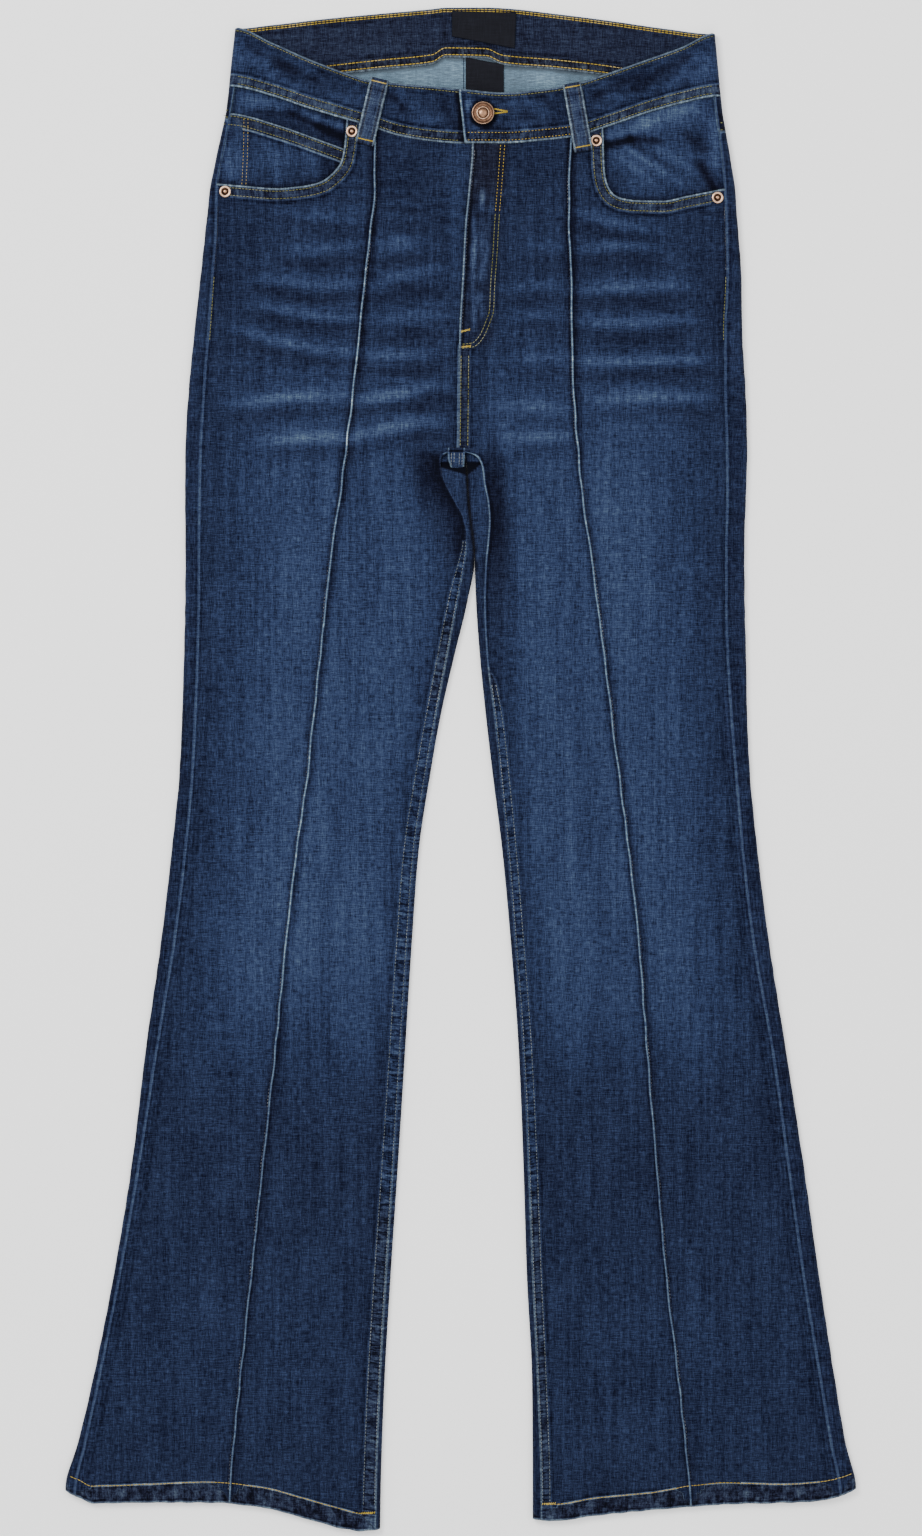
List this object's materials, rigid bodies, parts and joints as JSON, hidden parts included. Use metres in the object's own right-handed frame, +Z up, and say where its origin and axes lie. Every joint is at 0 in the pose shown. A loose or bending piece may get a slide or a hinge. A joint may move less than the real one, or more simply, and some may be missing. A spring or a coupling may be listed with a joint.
{
  "type": "bootcut jeans",
  "caption": "Bootcut jeans laid flat face up: pintucks down flared legs, curved front pockets, back yokes, belt loops and a one-button lapped waistband.",
  "frame": {"origin": "on the surface that the jeans lie on, under the middle of their outline", "axes": "+Y runs up the garment to the waist, +X to the wearer's left, +Z up out of the surface; the front faces up"},
  "size_m": [0.5628, 1.0836, 0.0144],
  "materials": {
    "denim": "dark indigo stretch denim, faded along the thighs and knees, light at the seam edges",
    "label": "black woven satin label, bare",
    "copper": "aged copper, worn bright on the high edges",
    "thread": "golden topstitch thread"
  },
  "bodies": {
    "root": {"front_leg_right": "denim", "front_leg_left": "denim", "back_leg_right": "denim", "back_leg_left": "denim", "back_yoke_right": "denim", "back_yoke_left": "denim", "waistband": "denim", "pocket_facing_right": "denim", "pocket_facing_left": "denim", "coin_pocket": "denim", "belt_loop_right": "denim", "belt_loop_left": "denim", "waistband_label": "label", "size_label": "label", "button": "copper", "rivet_right_front": "copper", "rivet_right_side": "copper", "rivet_left_front": "copper", "rivet_left_side": "copper"}
  },
  "joints": []
}
